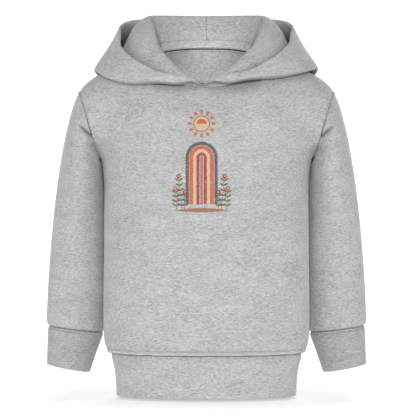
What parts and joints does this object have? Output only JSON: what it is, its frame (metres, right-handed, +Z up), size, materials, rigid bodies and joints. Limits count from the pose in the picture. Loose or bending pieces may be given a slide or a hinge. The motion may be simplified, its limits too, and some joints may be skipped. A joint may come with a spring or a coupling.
{
  "type": "toddler hoodie",
  "caption": "Toddler's long-sleeved pullover hoodie, hollow as when worn, with a lowered double hood, cuffs and a waistband.",
  "frame": {"origin": "base of the neck, in the plane of symmetry, level with the points where the shoulder seams meet the neck seam: the place that rests on the wearer's shoulders", "axes": "+Z up, from the hem to the hood; the front faces -Y; +X towards the wearer's left sleeve"},
  "size_m": [0.3836, 0.1999, 0.4529],
  "materials": {
    "body_cloth": "mottled light grey brushed sweatshirt knit",
    "lining_cloth": "mottled light grey knit of the hood's inner layer",
    "tape_cloth": "light grey twill tape"
  },
  "bodies": {
    "root": {"front": "body_cloth", "back": "body_cloth", "waistband": "body_cloth", "sleeve_right": "body_cloth", "cuff_right": "body_cloth", "hood_outer_right": "body_cloth", "hood_lining_right": "lining_cloth", "sleeve_left": "body_cloth", "cuff_left": "body_cloth", "hood_outer_left": "body_cloth", "hood_lining_left": "lining_cloth", "neck_tape": "tape_cloth"}
  },
  "joints": []
}
